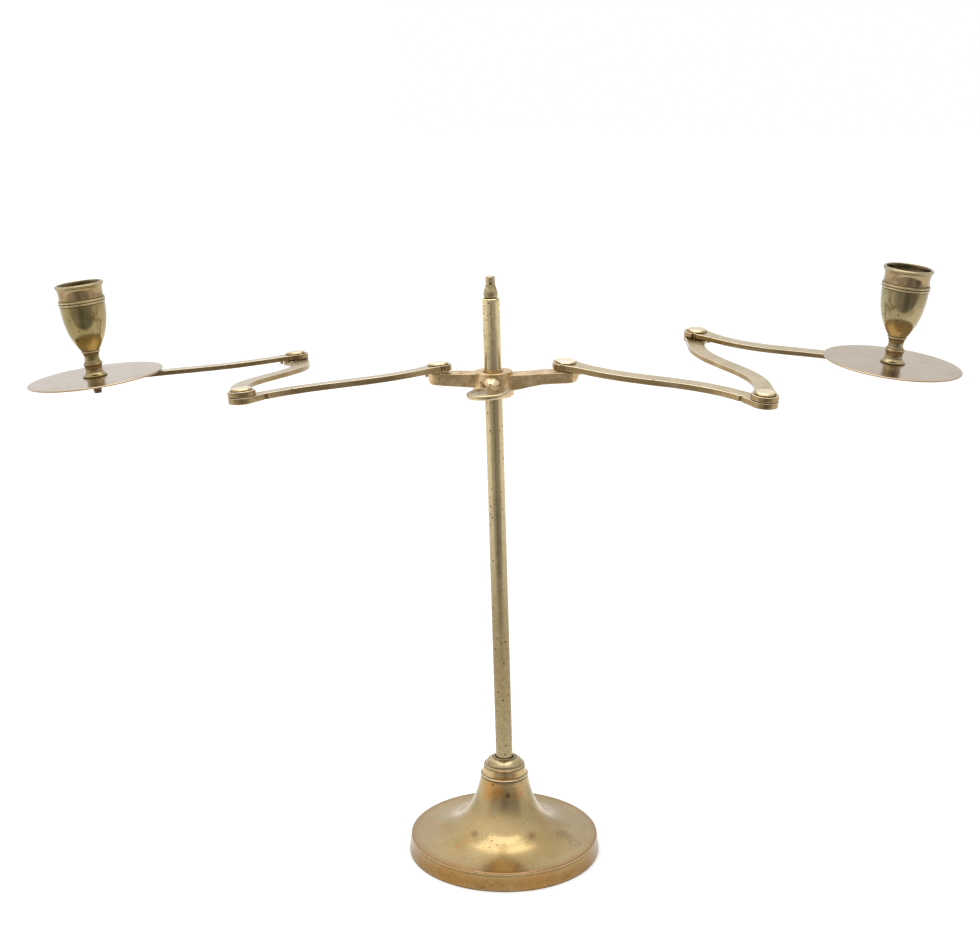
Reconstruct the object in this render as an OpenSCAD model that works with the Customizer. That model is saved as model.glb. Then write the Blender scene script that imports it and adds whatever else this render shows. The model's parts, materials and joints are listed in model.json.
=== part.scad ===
// Adjustable two-arm candelabra. Millimetres. The origin is the centre of the underside
// of the base, X points along the arms to the right, Y to the back and Z up.
// A spun trumpet base with an upright skirt holds a slightly leaning rod. A hub slides on
// the rod and is locked by a thumb screw. On each side three flat S-shaped arms fold on
// riveted pivots and the last one carries a drip pan and a candle cup.

/* [Base] */
// Radius of the skirt where it meets the table
base_r = 57.2; // [50:0.1:65]
// Radius at the crisp upper edge of the skirt
rim_r = 56.1; // [49:0.1:64]
// Height of the skirt's upper edge
rim_z = 10.8; // [8:0.1:14]
// Height of the bell's top, where the collar sits
bell_top_z = 48.4; // [40:0.1:55]
// Radius of the bell at its top
bell_top_r = 14; // [11:0.1:16]
// Wall thickness of the spun shell
shell_wall = 1.4; // [1:0.1:3]
// Height of the collar above the bell
collar_h = 11.5; // [10:0.1:16]
// Radius of the collar's lower ring
collar_r = 14.35; // [12:0.05:17]

/* [Column] */
// Rod diameter
rod_d = 10.1; // [8:0.1:12]
// Lean of the rod towards the left
rod_lean = 1.7; // [0:0.1:3]
// Height of the collar mouth, where the rod comes out
mouth_z = 58.5; // [50:0.5:65]
// Rod length above the collar mouth
rod_len = 277.7; // [200:0.1:320]
// Height of the finial on the rod
finial_h = 12.3; // [8:0.1:20]

/* [Hub] */
// Distance up the rod from the collar mouth to the top of the hub
hub_top = 236.2; // [40:0.1:260]
// Height of the hub
hub_h = 14.6; // [12:0.1:20]
// Radius of the hub at its top
hub_r_top = 11.1; // [10:0.1:14]
// Radius of the hub near its bottom
hub_r_low = 11.7; // [10:0.1:14]
// Radius of the hub's bore
hub_bore_r = 5.65; // [5.4:0.05:6.5]
// Width of the two lugs at the hub
lug_w = 11.8; // [9:0.1:14]
// Diameter of the thumb screw's paddle
paddle_d = 23.8; // [16:0.1:30]
// Thickness of the thumb screw's paddle
paddle_t = 2.8; // [2:0.1:5]

/* [Arms] */
// Distance between the pivots of an arm
arm_len = 118; // [90:1:140]
// Width of the bar
arm_w = 9.6; // [7:0.1:12]
// Length over which a bar widens into an eye
blend_len = 18; // [10:1:30]
// Thickness of the inner arms
inner_t = 3.4; // [2:0.1:5]
// Thickness of the middle arms
middle_t = 2.9; // [2:0.1:5]
// Thickness of the outer arms
outer_t = 2.8; // [2:0.1:5]
// Diameter of the eyes at the pivots
eye_d = 15.2; // [12:0.1:18]
// Thickness of the washer between two arms
washer_t = 0.4; // [0.3:0.1:1]
// Thickness of the washer between a lug and the inner arm
hub_washer_t = 0.8; // [0.4:0.1:1.5]
// Radius of a pivot's shank
shank_r = 2.75; // [2:0.05:4]
// Radius of a pivot's head
head_r = 6.1; // [4.5:0.1:7]
// Height of a pivot's head
head_h = 1.4; // [1:0.1:3]
// Distance of the stop peg from the pivot
peg_reach = 9.2; // [8:0.1:12]

/* [Right arms] */
// Distance of the first pivot from the hub axis
right_reach = 41.3; // [30:0.1:50]
// Radius of the lug's round end
right_lug_r = 7.3; // [5:0.1:8]
// Height of the first arm's middle plane above the hub's top
right_lift = 2.1; // [0:0.1:4]
// Outward droop of the arms' plane against the hub
right_droop = 4.8; // [0:0.1:6]
// Forward dip of the arms' plane
right_dip = 5.1; // [-6:0.1:6]
// Angle of the first arm from straight out towards the front
right_turn_1 = 27.4; // [-60:0.1:90]
// Angle of the second arm from straight out towards the front
right_turn_2 = -101.9; // [-150:0.1:90]
// Angle of the third arm from straight out towards the front
right_turn_3 = 25.9; // [-60:0.1:90]
// Outward lean of the cup against the arms' plane
right_cup_lean = 2.5; // [0:0.1:5]
// Forward lean of the cup against the arms' plane
right_cup_dip = -1.5; // [-5:0.1:5]
// Length of the stud below the outer eye
right_stud_tail = 1.2; // [0.5:0.1:10]

/* [Left arms] */
// Distance of the first pivot from the hub axis
left_reach = 30.8; // [25:0.1:50]
// Radius of the lug's round end
left_lug_r = 5.9; // [5:0.1:8]
// Height of the first arm's middle plane above the hub's top
left_lift = 2.7; // [0:0.1:4]
// Outward droop of the arms' plane against the hub
left_droop = 3.6; // [0:0.1:6]
// Forward dip of the arms' plane
left_dip = -3; // [-6:0.1:6]
// Angle of the first arm from straight out towards the front
left_turn_1 = 28.8; // [-60:0.1:90]
// Angle of the second arm from straight out towards the front
left_turn_2 = -97.7; // [-150:0.1:90]
// Angle of the third arm from straight out towards the front
left_turn_3 = 13.5; // [-60:0.1:90]
// Outward lean of the cup against the arms' plane
left_cup_lean = 1.7; // [0:0.1:5]
// Forward lean of the cup against the arms' plane
left_cup_dip = 2.9; // [-5:0.1:5]
// Length of the stud below the outer eye
left_stud_tail = 6.2; // [0.5:0.1:10]

/* [Pans and cups] */
// Drip pan diameter
pan_d = 78.9; // [60:0.1:100]
// Drip pan thickness
pan_t = 1; // [0.8:0.1:2]
// Height of a candle cup
cup_h = 55.1; // [45:0.1:70]
// Radius of the candle socket
socket_r = 11.5; // [10:0.05:13]
// Depth of the straight socket wall's lower end below the lip
socket_depth = 22; // [15:0.5:26]

/* [Hidden] */

ROUND = 64;
RIGHT = 1;
LEFT = -1;
rod_r = rod_d / 2;
eye_r = eye_d / 2;
seam = 0.05;              // running gap of pins and of faces that turn on each other
rod_gap = 0.08;           // running gap of the rod in the collar
stud_r = 3.95;            // threaded lower end of the rod
stud_hole_r = 4.25;
skirt_top_r = rim_r - 1.2 * shell_wall;   // where the skirt meets the bell of the same sheet
skirt_top_z = rim_z - shell_wall;
shoulder_z = -9;          // heights on the rod's own axis, from the collar mouth
boss_z = -24;
nut_t = 5.5;
nut_r = 7.5;              // across the corners of the hexagon
clamp_washer_t = 1.5;
stud_end_z = -34;
boss_r = 8;
screw_z = hub_top - 6.9;  // height of the thumb screw on the rod's axis
screw_turn = 5.5;         // the screw points a little to the left
screw_r = 2.9;
paddle_roll = 3;
notch_r = 1.2;
notch_reach = 11.5;
peg_r = 1;
peg_h = 2;
washer_r = eye_r - 1.8;
cup_stud_r = 2.55;
steps = 28;
bar_steps = 40;

// Colours
BRASS = [0.72, 0.58, 0.32];
TAN = [0.68, 0.56, 0.38];
PALE = [0.80, 0.72, 0.56];
STEEL = [0.35, 0.33, 0.32];

// Point of a cubic curve through a and d, pulled towards b and c
function curve(a, b, c, d, t) =
    pow(1 - t, 3) * a + 3 * pow(1 - t, 2) * t * b + 3 * (1 - t) * t * t * c + pow(t, 3) * d;
function run(a, b, c, d, n = 16) = [for (i = [0 : n]) curve(a, b, c, d, i / n)];
function arc(x, y, r, from, to, n = 8) =
    [for (i = [0 : n]) [x + r * cos(from + (to - from) * i / n), y + r * sin(from + (to - from) * i / n)]];

// ---- frames ----------------------------------------------------------------

// The rod's own axis, measured from the collar mouth
module on_rod(z = 0) {
    translate([0, 0, mouth_z])
        rotate([0, -rod_lean, 0])
            translate([0, 0, z])
                children();
}

// The thumb screw's axis, with Z pointing out of the hub towards the front
module on_screw() {
    on_rod(screw_z)
        rotate([0, 0, -screw_turn])
            rotate([90, 0, 0])
                children();
}

function reach(s) = s > 0 ? right_reach : left_reach;
function lift(s) = s > 0 ? right_lift : left_lift;
function droop(s) = s > 0 ? right_droop : left_droop;
function dip(s) = s > 0 ? right_dip : left_dip;
function turns(s) = s > 0 ? [right_turn_1, right_turn_2, right_turn_3]
                          : [left_turn_1, left_turn_2, left_turn_3];
function cup_lean(s) = s > 0 ? right_cup_lean : left_cup_lean;
function cup_dip(s) = s > 0 ? right_cup_dip : left_cup_dip;
function stud_tail(s) = s > 0 ? right_stud_tail : left_stud_tail;
function lug_r(s) = s > 0 ? right_lug_r : left_lug_r;

// Side view of a lug, along its top and back along its underside, measured from the hub's
// axis and from the hub's top
function lug_top(s) = s > 0 ? [[0, -2.4], [reach(s) + lug_r(s) - 0.6, -0.5]]
                            : [[0, -1], [reach(s) + lug_r(s) - 0.6, 0.2]];
function lug_low(s) = s > 0 ? [[34, -7.3], [28, -7.6], [21, -8.8], [14, -10.2], [0, -11.6]]
                            : [[14, -8.2], [0, -9.6]];
function lug_tip_z(s) = s > 0 ? -7.2 : -6.3;

// Thickness of arm i, the gap its washer fills, and the height of its middle plane
function thick(i) = [inner_t, middle_t, outer_t][i];
function gap(i) = i == 0 ? hub_washer_t : washer_t;
function level_z(i) = i == 0 ? 0 : level_z(i - 1) + thick(i - 1) / 2 + gap(i) + thick(i) / 2;

// How far each arm's S swings to its two sides, and how far its middle is off the straight line
function sway(s, i) = s > 0 ? [[4.4, 3.8], [7, 0.7], [5.2, -4.2]][i]
                            : [[5.3, -1.5], [8.6, 1.9], [3.6, -6]][i];

// Direction of arm i in the plane of its side, and the place of pivot i in that plane
function heading(s, i) = [s * cos(turns(s)[i]), -sin(turns(s)[i])];
function pivot(s, i) = i == 0 ? [0, 0] : pivot(s, i - 1) + arm_len * heading(s, i - 1);

// The plane of one side's arms, with the first pivot at its origin
module on_side(s) {
    on_rod(hub_top + lift(s))
        translate([s * reach(s), 0, 0])
            rotate([dip(s), s * droop(s), 0])
                children();
}

// Pivot i of a side, at the middle plane of arm number level
module at_pivot(s, i, level) {
    on_side(s)
        translate([pivot(s, i)[0], pivot(s, i)[1], level_z(level)])
            children();
}

// The axis of a candle cup, with its origin in the middle of the outer eye
module on_cup(s) {
    at_pivot(s, 3, 2)
        rotate([cup_dip(s), s * cup_lean(s), 0])
            children();
}

// ---- base ------------------------------------------------------------------

function bell(dr, dz) =
    run([rim_r - 0.7 - dr, rim_z + 0.4 - dz], [29.1 - dr, rim_z + 1.2 - dz],
        [18.6 - dr, 22.5 - dz], [bell_top_r - dr, bell_top_z - dz], steps);

// The upright skirt of the spun sheet, from the table to just under its sharp upper edge
module base_skirt() {
    color(BRASS)
    rotate_extrude($fn = 2 * ROUND)
        polygon([[base_r - shell_wall, 0], [base_r - 0.2, 0], [base_r, 0.3], [base_r - 0.3, 3.5],
                 [rim_r + 0.1, skirt_top_z], [skirt_top_r, skirt_top_z]]);
}

// The rest of the spun sheet: the sharp edge, the bell and the boss inside for the washer
module base_shell() {
    color(BRASS)
    difference() {
        union() {
            rotate_extrude($fn = 2 * ROUND)
                polygon(concat(
                    [[skirt_top_r, skirt_top_z], [rim_r + 0.1, skirt_top_z], [rim_r, rim_z]],
                    bell(0, 0),
                    [[0, bell_top_z], [0, bell_top_z - 1.6 * shell_wall]],
                    [for (i = [steps : -1 : 0])
                        if (bell(shell_wall, shell_wall)[i][1] < bell_top_z - 1.7 * shell_wall)
                            bell(shell_wall, shell_wall)[i]]));
            intersection() {
                on_rod(boss_z)
                    cylinder(r = boss_r, h = 40, $fn = ROUND);
                cylinder(r = 20, h = bell_top_z - 0.5, $fn = ROUND);
            }
        }
        on_rod(stud_end_z)
            cylinder(r = stud_hole_r, h = 60, $fn = ROUND);
    }
}

module base_collar() {
    z0 = bell_top_z;
    top = z0 + collar_h;
    color(BRASS)
    difference() {
        rotate_extrude($fn = 2 * ROUND)
            polygon(concat(
                [[0, z0], [collar_r - 0.5, z0]],
                arc(collar_r - 0.5, z0 + 0.7, 0.5, -70, 90),
                [[13.35, z0 + 1.3], [12.95, z0 + 3.3], [12.6, z0 + 4.6], [12.3, z0 + 6.1]],
                arc(11.55, z0 + 6.9, 0.45, -60, 90),
                run([11.1, z0 + 7.35], [10.9, z0 + 9.1], [9, z0 + 10.6], [6.7, z0 + 11], 10),
                [[6.4, top - 0.65]],
                arc(6, top - 0.35, 0.35, -20, 150, 6),
                [[5.25, top - 1.5], [0, top - 1.5]]));
        on_rod(shoulder_z)
            cylinder(r = rod_r + rod_gap, h = 30, $fn = ROUND);
        on_rod(shoulder_z - 20)
            cylinder(r = stud_hole_r, h = 30, $fn = ROUND);
    }
}

module base_washer() {
    color(STEEL)
    on_rod(boss_z - clamp_washer_t)
        difference() {
            cylinder(r = boss_r + 2, h = clamp_washer_t, $fn = ROUND);
            translate([0, 0, -1])
                cylinder(r = stud_hole_r, h = clamp_washer_t + 2, $fn = ROUND);
        }
}

module base_nut() {
    color(STEEL)
    on_rod(boss_z - clamp_washer_t - seam - nut_t)
        difference() {
            cylinder(r = nut_r, h = nut_t, $fn = 6);
            translate([0, 0, -1])
                cylinder(r = stud_r + seam, h = nut_t + 2, $fn = ROUND);
        }
}

// ---- column ----------------------------------------------------------------

finial_stub_r = 1.95;
finial_stub = 7;

module column_rod() {
    edge = 0.5;
    color(BRASS)
    on_rod()
        difference() {
            rotate_extrude($fn = ROUND)
                polygon(concat(
                    [[0, stud_end_z], [stud_r - 0.6, stud_end_z], [stud_r, stud_end_z + 0.6],
                     [stud_r, shoulder_z + seam], [rod_r, shoulder_z + seam]],
                    arc(rod_r - edge, rod_len - edge, edge, 0, 90),
                    [[0, rod_len]]));
            translate([0, 0, rod_len - finial_stub - 1])
                cylinder(r = finial_stub_r + seam, h = finial_stub + 2, $fn = ROUND);
        }
}

module rod_finial() {
    hole_r = 0.6;
    belly_r = 4.3;
    foot_r = 3.85;
    stem_r = 2.7;
    color(BRASS)
    on_rod(rod_len)
        difference() {
            rotate_extrude($fn = ROUND)
                polygon(concat(
                    [[0, -finial_stub], [finial_stub_r, -finial_stub], [finial_stub_r, 0],
                     [foot_r - 0.35, 0], [foot_r - 0.35, 0.35], [foot_r, 0.55]],
                    run([foot_r + 0.15, 1], [belly_r + 0.25, 3.2], [stem_r + 0.3, 5.4],
                        [stem_r, 8], 12),
                    [[stem_r, finial_h - 0.4], [stem_r - 0.4, finial_h], [0, finial_h]]));
            translate([0, -1.2, finial_h - 4.1])
                rotate([90, 0, 0])
                    cylinder(r = hole_r, h = 10, $fn = 24);
        }
}

// ---- hub -------------------------------------------------------------------

// One lug: a tapering side view cut to a plan with a round end
module lug(s) {
    tip = reach(s) + lug_r(s);
    low = s > 0 ? 4 : 2.4;
    on_rod(hub_top)
        scale([s, 1, 1])
            intersection() {
                rotate([90, 0, 0])
                    linear_extrude(height = 4 * lug_w, center = true)
                        polygon(concat(
                            lug_top(s),
                            [[tip, lug_top(s)[1][1] - 0.8]],
                            arc(tip - low, lug_tip_z(s) + low, low, 0, -85, 6),
                            lug_low(s)));
                translate([0, 0, -20])
                    union() {
                        translate([reach(s), 0, 0])
                            cylinder(r = lug_r(s), h = 40, $fn = ROUND);
                        linear_extrude(height = 40)
                            polygon([[0, -lug_w / 2], [reach(s), -lug_r(s)],
                                     [reach(s), lug_r(s)], [0, lug_w / 2]]);
                    }
            }
}

// The flat face under the inner arm, with its origin at the washer's underside
module on_seat(s) {
    at_pivot(s, 0, 0)
        translate([0, 0, -thick(0) / 2 - gap(0)])
            children();
}

module hub_slider() {
    edge = 1.6;
    boss_h = 3;
    color(TAN)
    difference() {
        union() {
            on_rod(hub_top - hub_h)
                rotate_extrude($fn = 2 * ROUND)
                    polygon(concat(
                        [[0, 0]],
                        arc(hub_r_low - edge, edge, edge, -90, 0),
                        [[hub_r_low - 0.1, hub_h * 0.5]],
                        arc(hub_r_top - 0.5, hub_h - 0.5, 0.5, 0, 90, 4),
                        [[0, hub_h]]));
            for (s = [RIGHT, LEFT])
                difference() {
                    union() {
                        lug(s);
                        on_seat(s)
                            translate([0, 0, -boss_h])
                                cylinder(r = lug_r(s) - 0.4, h = boss_h, $fn = ROUND);
                    }
                    on_seat(s)
                        cylinder(r = eye_r + 1, h = 10, $fn = ROUND);
                }
        }
        on_rod(hub_top - hub_h - 1)
            cylinder(r = hub_bore_r, h = hub_h + 2, $fn = ROUND);
        on_rod(hub_top)
            rotate_extrude($fn = ROUND)
                polygon([[0, 0.1], [hub_bore_r + 0.85, 0.1], [hub_bore_r, -0.8], [0, -0.8]]);
        on_screw()
            cylinder(r = screw_r + seam, h = 20, $fn = ROUND);
        for (s = [RIGHT, LEFT])
            at_pivot(s, 0, 0)
                translate([0, 0, -16])
                    cylinder(r = shank_r + seam, h = 24, $fn = ROUND);
    }
}

// Thumb screw: shank through the hub wall, domed shoulder and a flat round paddle
module thumb_screw() {
    dome = hub_r_low + 0.35;
    dome_r = 5.7;
    paddle_c = 31.5;
    edge = 0.9;
    color(TAN)
    on_screw()
        union() {
            rotate_extrude($fn = ROUND)
                polygon(concat(
                    [[0, rod_r + 0.35], [screw_r - 0.5, rod_r + 0.35], [screw_r, rod_r + 0.85],
                     [screw_r, dome], [dome_r, dome], [dome_r, dome + 0.8]],
                    run([dome_r, dome + 0.8], [dome_r, dome + 3.4], [4.2, dome + 5], [3.1, dome + 7], 10),
                    [[2.6, paddle_c - paddle_d / 2 + 3], [0, paddle_c - paddle_d / 2 + 3]]));
            translate([0, 0, paddle_c])
                rotate([0, 0, paddle_roll])
                    rotate([90, 0, 0])
                        rotate_extrude($fn = ROUND)
                            polygon(concat(
                                [[0, -paddle_t / 2]],
                                arc(paddle_d / 2 - edge, -paddle_t / 2 + edge, edge, -90, 0, 5),
                                arc(paddle_d / 2 - edge, paddle_t / 2 - edge, edge, 0, 90, 5),
                                [[0, paddle_t / 2]]));
        }
}

// ---- arms ------------------------------------------------------------------

// Centre line of a swaying bar, u from 0 to 1 between the pivots
function sway_at(sw, s, u) = s * (sw[1] * sin(180 * u) - sw[0] * sin(360 * u));
function slope_at(sw, s, u) =
    s * (sw[1] * cos(180 * u) - 2 * sw[0] * cos(360 * u)) * PI / arm_len;
function side_at(sw, s, u, d) =
    let(tilt = atan(slope_at(sw, s, u)))
        [arm_len * u - d * sin(tilt), sway_at(sw, s, u) + d * cos(tilt)];

// Half the bar's width at u, widening into the eyes at both ends
function half_width(u) =
    arm_w / 2 + (eye_r - arm_w / 2 - 0.05) * pow(max(0, 1 - arm_len * min(u, 1 - u) / blend_len), 2);

module bar(sw, s, t) {
    translate([0, 0, -t / 2])
        linear_extrude(height = t)
            polygon(concat(
                [for (i = [0 : bar_steps]) side_at(sw, s, i / bar_steps, half_width(i / bar_steps))],
                [for (i = [bar_steps : -1 : 0])
                    side_at(sw, s, i / bar_steps, -half_width(i / bar_steps))]));
}

module eye(t) {
    translate([0, 0, -t / 2])
        cylinder(r = eye_r, h = t, $fn = ROUND);
}

// Turns the X axis to the way arm i points
module aim(s, i) {
    rotate([0, 0, atan2(heading(s, i)[1], heading(s, i)[0])])
        children();
}

// An arm between two riveted pivots. The front of its inner eye and the bar near its
// outer eye have a half-round notch for the stop pegs.
module arm(s, i) {
    at_pivot(s, i, i)
        aim(s, i)
            difference() {
                union() {
                    bar(sway(s, i), s, thick(i));
                    eye(thick(i));
                    translate([arm_len, 0, 0])
                        eye(thick(i));
                }
                for (x = [0, arm_len])
                    translate([x, 0, -10])
                        cylinder(r = shank_r + seam, h = 20, $fn = ROUND);
                eye_notch(s);
                bar_notch(s, sway(s, i), 1 - notch_reach / arm_len);
            }
}

module eye_notch(s) {
    translate([0.8, -s * eye_r, -10])
        cylinder(r = notch_r, h = 20, $fn = 24);
}

module bar_notch(s, sw, u) {
    edge = side_at(sw, s, u, -s * half_width(u));
    translate([edge[0], edge[1], -10])
        cylinder(r = notch_r, h = 20, $fn = 24);
}

// The last arm: its outer eye stands square to the candle cup
module end_arm(s) {
    t = thick(2);
    difference() {
        union() {
            at_pivot(s, 2, 2)
                aim(s, 2) {
                    bar(sway(s, 2), s, t);
                    eye(t);
                }
            on_cup(s)
                eye(t);
        }
        on_cup(s)
            translate([0, 0, t / 2])
                cylinder(r = pan_d / 2 + 1, h = 6, $fn = ROUND);
        on_cup(s)
            translate([0, 0, -t / 2 - 6])
                cylinder(r = eye_r, h = 6, $fn = ROUND);
        on_cup(s)
            translate([0, 0, -10])
                cylinder(r = cup_stud_r + seam, h = 20, $fn = ROUND);
        at_pivot(s, 2, 2)
            translate([0, 0, -10])
                cylinder(r = shank_r + seam, h = 20, $fn = ROUND);
        at_pivot(s, 2, 2)
            aim(s, 2)
                eye_notch(s);
    }
}

// A pivot pin through the member below and arm i, with a flat bevelled head on top
// and a closed-over tail of radius tail_r below
module pivot_pin(s, i, below, tail_r) {
    head_z = thick(i) / 2 + seam;
    tail_h = tail_r > shank_r ? 0.8 : 0;
    at_pivot(s, i, i)
        rotate_extrude($fn = ROUND)
            polygon([[0, -below], [tail_r, -below], [tail_r, tail_h - below], [shank_r, tail_h - below],
                     [shank_r, head_z], [head_r, head_z], [head_r, head_z + 0.25 * head_h],
                     [head_r - 1.1, head_z + head_h], [0, head_z + head_h]]);
}

// The first pivot runs right through the lug, its closed-over end just proud underneath
module hub_pivot(s) {
    color(PALE)
        pivot_pin(s, 0, lift(s) - lug_tip_z(s) + 0.3, shank_r);
}

module arm_pivot(s, i) {
    color(PALE)
        pivot_pin(s, i, thick(i) / 2 + gap(i) + thick(i - 1) + 0.8, shank_r + 1.6);
}

module washer(s, i) {
    color(PALE)
        at_pivot(s, i, i)
            translate([0, 0, -thick(i) / 2 - gap(i)])
                difference() {
                    cylinder(r = washer_r, h = gap(i) - seam, $fn = ROUND);
                    translate([0, 0, -1])
                        cylinder(r = shank_r + seam, h = 4, $fn = ROUND);
                }
}

// Stop peg under arm i, on the bar just outside the pivot below it
module stop_peg(s, i) {
    color(PALE)
        at_pivot(s, i, i)
            aim(s, i)
                translate([peg_reach, sway_at(sway(s, i), s, peg_reach / arm_len),
                           -thick(i) / 2 - peg_h])
                    cylinder(r = peg_r, h = peg_h, $fn = ROUND);
}

// ---- pans and cups -----------------------------------------------------------

pan_z = outer_t / 2;

module drip_pan(s) {
    edge = 0.35;
    color(PALE)
    on_cup(s)
        translate([0, 0, pan_z])
            difference() {
                rotate_extrude($fn = 2 * ROUND)
                    polygon([[0, 0], [pan_d / 2 - edge, 0], [pan_d / 2, edge],
                             [pan_d / 2, pan_t - edge], [pan_d / 2 - edge, pan_t], [0, pan_t]]);
                translate([0, 0, -1])
                    cylinder(r = cup_stud_r + 0.2, h = pan_t + 2, $fn = ROUND);
            }
}

// Candle cup turned like a baluster: foot, knop, waist, vase, beaded band, neck and lip
module candle_cup(s) {
    floor_z = cup_h - socket_depth;
    band_z = 44.4;
    lip_r = 14.25;
    mouth_r = 12.45;
    tap_depth = 9;
    color(BRASS)
    on_cup(s)
        translate([0, 0, pan_z + pan_t])
            rotate_extrude($fn = 2 * ROUND)
                polygon(concat(
                    [[cup_stud_r + seam, 0], [7.0, 0], [7.1, 0.6]],
                    run([6.9, 1], [5.4, 1.9], [4.9, 2.9], [4.85, 4.2], 6),
                    run([4.85, 4.5], [4.9, 5.4], [5.1, 6], [5.2, 6.4], 4),
                    arc(4.95, 7.5, 0.75, -60, 60, 6),
                    run([5.0, 8.4], [4.5, 9.2], [4.35, 10.2], [4.35, 11], 6),
                    run([4.35, 11.4], [4.4, 12.8], [4.8, 13.7], [5.0, 14.2], 4),
                    arc(5.05, 14.8, 0.5, -60, 60, 5),
                    run([5.2, 15.5], [8.6, 20], [12.6, 27.3], [13.15, 40.2], 18),
                    [[13.2, band_z - 1.6]],
                    arc(13.0, band_z - 0.75, 0.7, -70, 70, 5),
                    arc(13.0, band_z + 0.75, 0.7, -70, 70, 5),
                    run([13.1, band_z + 1.7], [12.7, 47.4], [12.7, 50.4], [13.4, 52.5], 8),
                    arc(lip_r - 1.1, cup_h - 1.1, 1.1, -60, 100, 8),
                    [[mouth_r, cup_h - 0.3], [mouth_r - 0.2, cup_h - 1.2]],
                    run([socket_r + 0.5, cup_h - 3], [socket_r + 0.1, cup_h - 4],
                        [socket_r, cup_h - 4.4], [socket_r, cup_h - 5], 5),
                    [[socket_r, floor_z]],
                    run([socket_r - 0.3, floor_z - 1.5], [9.2, floor_z - 6], [6, floor_z - 8.5],
                        [0, floor_z - 9], 8),
                    [[0, tap_depth], [cup_stud_r + seam, tap_depth - 1]]));
}

module cup_stud(s) {
    low = -outer_t / 2 - stud_tail(s);
    top = pan_z + pan_t + 7.6;
    color(STEEL)
    on_cup(s)
        rotate_extrude($fn = ROUND)
            polygon([[0, low], [cup_stud_r - 0.5, low], [cup_stud_r, low + 0.5],
                     [cup_stud_r, top - 0.5], [cup_stud_r - 0.5, top], [0, top]]);
}

module brass_arm(s, i) {
    color(PALE)
        arm(s, i);
}

module brass_end_arm(s) {
    color(PALE)
        end_arm(s);
}

// ---- nodes -----------------------------------------------------------------

base_shell();
base_skirt();
base_collar();
base_washer();
base_nut();
column_rod();
rod_finial();
hub_slider();
thumb_screw();
brass_arm(RIGHT, 0);  // right_arm_inner
brass_arm(RIGHT, 1);  // right_arm_middle
brass_end_arm(RIGHT);  // right_arm_outer
hub_pivot(RIGHT);  // right_pivot_inner
arm_pivot(RIGHT, 1);  // right_pivot_middle
arm_pivot(RIGHT, 2);  // right_pivot_outer
washer(RIGHT, 0);  // right_washer_inner
washer(RIGHT, 1);  // right_washer_middle
washer(RIGHT, 2);  // right_washer_outer
stop_peg(RIGHT, 0);  // right_stop_inner
stop_peg(RIGHT, 1);  // right_stop_middle
stop_peg(RIGHT, 2);  // right_stop_outer
drip_pan(RIGHT);  // right_drip_pan
candle_cup(RIGHT);  // right_candle_cup
cup_stud(RIGHT);  // right_cup_stud
brass_arm(LEFT, 0);  // left_arm_inner
brass_arm(LEFT, 1);  // left_arm_middle
brass_end_arm(LEFT);  // left_arm_outer
hub_pivot(LEFT);  // left_pivot_inner
arm_pivot(LEFT, 1);  // left_pivot_middle
arm_pivot(LEFT, 2);  // left_pivot_outer
washer(LEFT, 0);  // left_washer_inner
washer(LEFT, 1);  // left_washer_middle
washer(LEFT, 2);  // left_washer_outer
stop_peg(LEFT, 0);  // left_stop_inner
stop_peg(LEFT, 1);  // left_stop_middle
stop_peg(LEFT, 2);  // left_stop_outer
drip_pan(LEFT);  // left_drip_pan
candle_cup(LEFT);  // left_candle_cup
cup_stud(LEFT);  // left_cup_stud
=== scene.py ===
"""Two-arm brass candelabra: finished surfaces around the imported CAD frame. Sizes in millimetres."""

import json
import math

import bmesh
import bpy
from mathutils import Matrix, Vector, noise


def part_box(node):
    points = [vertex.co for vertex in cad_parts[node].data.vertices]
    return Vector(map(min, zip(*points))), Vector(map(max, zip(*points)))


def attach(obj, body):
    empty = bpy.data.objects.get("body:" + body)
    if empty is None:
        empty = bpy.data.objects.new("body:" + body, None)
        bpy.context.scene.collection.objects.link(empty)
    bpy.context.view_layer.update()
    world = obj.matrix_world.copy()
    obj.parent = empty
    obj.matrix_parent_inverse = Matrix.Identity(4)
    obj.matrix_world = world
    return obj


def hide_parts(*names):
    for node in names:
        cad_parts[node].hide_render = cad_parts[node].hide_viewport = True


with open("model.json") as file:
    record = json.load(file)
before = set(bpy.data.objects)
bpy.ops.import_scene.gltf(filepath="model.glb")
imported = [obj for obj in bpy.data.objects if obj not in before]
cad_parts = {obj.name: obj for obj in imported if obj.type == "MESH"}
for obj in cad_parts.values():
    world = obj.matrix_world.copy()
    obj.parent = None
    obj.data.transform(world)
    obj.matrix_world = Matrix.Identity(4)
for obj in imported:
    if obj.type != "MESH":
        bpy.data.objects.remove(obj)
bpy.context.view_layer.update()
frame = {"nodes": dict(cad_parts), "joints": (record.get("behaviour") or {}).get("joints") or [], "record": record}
MM = 0.001
RECORD = frame["record"]
JOINTS = {j["name"]: j for j in frame["joints"]}
MOUNTS = {m["name"]: m for m in RECORD["mounts"]}


# ---- places ------------------------------------------------------------------

def place(origin, axis, ahead=(1, 0, 0)):
    """Matrix with its origin there, Z along axis and X as near ahead as it can be. Metres."""
    z = Vector(axis).normalized()
    x = Vector(ahead) - z * z.dot(Vector(ahead))
    x.normalize()
    y = z.cross(x)
    turn = Matrix((x, y, z)).transposed().to_4x4()
    return Matrix.Translation(Vector(origin)) @ turn


def joint_place(name):
    """A joint's centre, with Z along its axis."""
    joint = JOINTS[name]
    return place(joint["pos_m"], joint["axis"])


BASE = Matrix.Identity(4)
ROD = joint_place("column_turn")


# ---- mesh helpers --------------------------------------------------------------

def cover(obj, material):
    """Gives a piece one material in place of what it has."""
    obj.data.materials.clear()
    obj.data.materials.append(material)


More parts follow.
